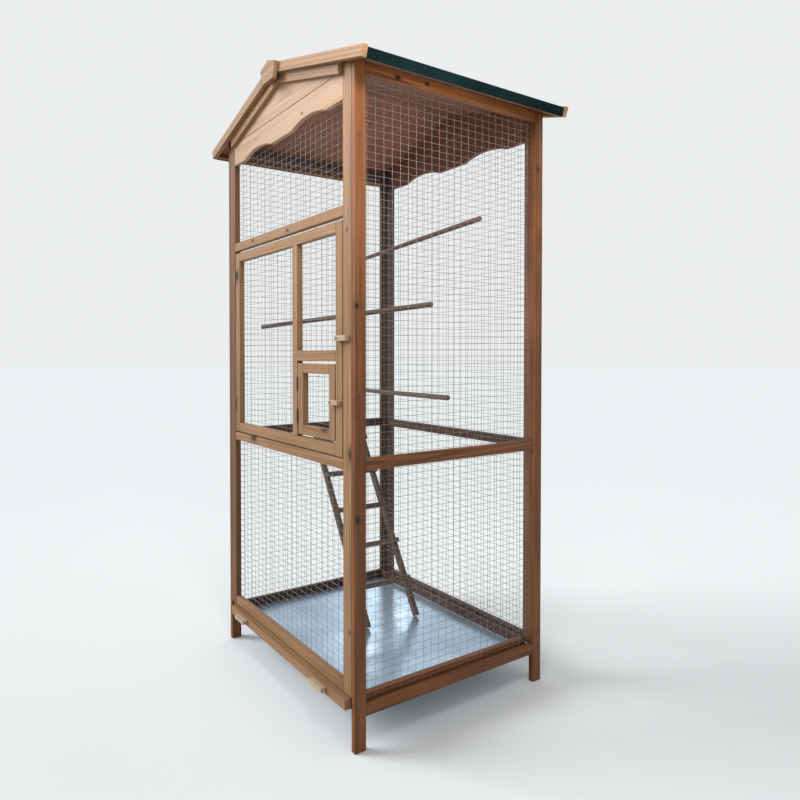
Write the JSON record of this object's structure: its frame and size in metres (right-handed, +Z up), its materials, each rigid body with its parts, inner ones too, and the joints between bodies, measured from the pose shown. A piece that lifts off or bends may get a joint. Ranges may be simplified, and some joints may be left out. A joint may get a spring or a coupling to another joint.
{
  "type": "garden aviary",
  "caption": "Free-standing timber aviary with wire mesh walls, felted gable roof, front door with a small hatch, pull-out tray, perches and a ladder",
  "frame": {"origin": "on the floor, under the centre of the overall box", "axes": "X to the right seen from the front, Y from the front to the back, Z up"},
  "size_m": [0.7828, 0.6753, 1.646],
  "materials": {
    "stained_wood": "satin",
    "shaded_wood": "satin",
    "pale_wood": "matte",
    "perch_wood": "matte",
    "roof_felt": "matte",
    "zinc_sheet": "satin",
    "zinc_wire": "satin",
    "hinge_steel": "satin"
  },
  "bodies": {
    "frame": {"leg_front_left": "stained_wood", "leg_front_right": "stained_wood", "leg_back_left": "stained_wood", "leg_back_right": "stained_wood", "rail_left_bottom": "stained_wood", "rail_left_mid": "stained_wood", "rail_left_top": "stained_wood", "rail_right_bottom": "stained_wood", "rail_right_mid": "stained_wood", "rail_right_top": "stained_wood", "front_stile_left": "stained_wood", "front_stile_right": "stained_wood", "front_rail_bottom": "stained_wood", "front_rail_mid": "stained_wood", "front_rail_upper": "stained_wood", "front_valance": "stained_wood", "front_gable": "stained_wood", "back_stile_left": "stained_wood", "back_stile_right": "stained_wood", "back_rail_bottom": "stained_wood", "back_rail_mid": "stained_wood", "back_gable": "shaded_wood", "roof_deck_left": "shaded_wood", "roof_deck_right": "shaded_wood", "roof_felt": "roof_felt", "barge_front_left": "stained_wood", "barge_front_right": "stained_wood", "barge_back_left": "stained_wood", "barge_back_right": "stained_wood", "apex_block": "stained_wood", "hinge_lower_fixed": "hinge_steel", "hinge_upper_fixed": "hinge_steel", "wire_right": "zinc_wire", "wire_left": "zinc_wire", "wire_back": "zinc_wire", "wire_front_lower": "zinc_wire", "wire_front_upper": "zinc_wire", "tray_stop": "stained_wood", "perch_upper": "perch_wood", "perch_middle": "perch_wood", "perch_lower": "perch_wood"},
    "door": {"door_stile_left": "stained_wood", "door_stile_right": "stained_wood", "door_rail_bottom": "stained_wood", "door_rail_top": "stained_wood", "door_post": "stained_wood", "door_rail_cross": "stained_wood", "hinge_lower_leaf": "hinge_steel", "hinge_upper_leaf": "hinge_steel", "wire_door_left": "zinc_wire", "wire_door_upper": "zinc_wire"},
    "hatch": {"hatch_frame": "stained_wood", "wire_hatch": "zinc_wire"},
    "door_button": {"door_latch": "pale_wood"},
    "hatch_button": {"hatch_latch": "pale_wood"},
    "tray": {"tray_frame": "stained_wood", "tray_sheet": "zinc_sheet", "tray_pull_left": "pale_wood", "tray_pull_right": "pale_wood"},
    "ladder": {"ladder": "perch_wood"}
  },
  "joints": [
    {"name": "door_hinge", "type": "hinge", "parent": "frame", "child": "door", "pos_m": [-0.27905, -0.3005, 0.9195], "axis": [0, 0, -1], "range_deg": [0, 120]},
    {"name": "hatch_hinge", "type": "hinge", "parent": "door", "child": "hatch", "pos_m": [0.0831, -0.3005, 0.773], "axis": [0, 0, -1], "range_deg": [0, 110]},
    {"name": "door_button_turn", "type": "hinge", "parent": "door", "child": "door_button", "pos_m": [0.2705, -0.3041, 0.921], "axis": [0, 1, 0], "range_deg": [-90, 90]},
    {"name": "hatch_button_turn", "type": "hinge", "parent": "hatch", "child": "hatch_button", "pos_m": [0.2448, -0.3041, 0.7745], "axis": [0, 1, 0], "range_deg": [-90, 90]},
    {"name": "tray_slide", "type": "slide", "parent": "frame", "child": "tray", "axis": [0, -1, 0], "range_m": [0, 0.5]},
    {"name": "ladder_lift", "type": "hinge", "parent": "frame", "child": "ladder", "pos_m": [-0.2896, 0.0781, 0.6446], "axis": [-0.043, -0.9991, 0], "range_deg": [0, 35]}
  ]
}
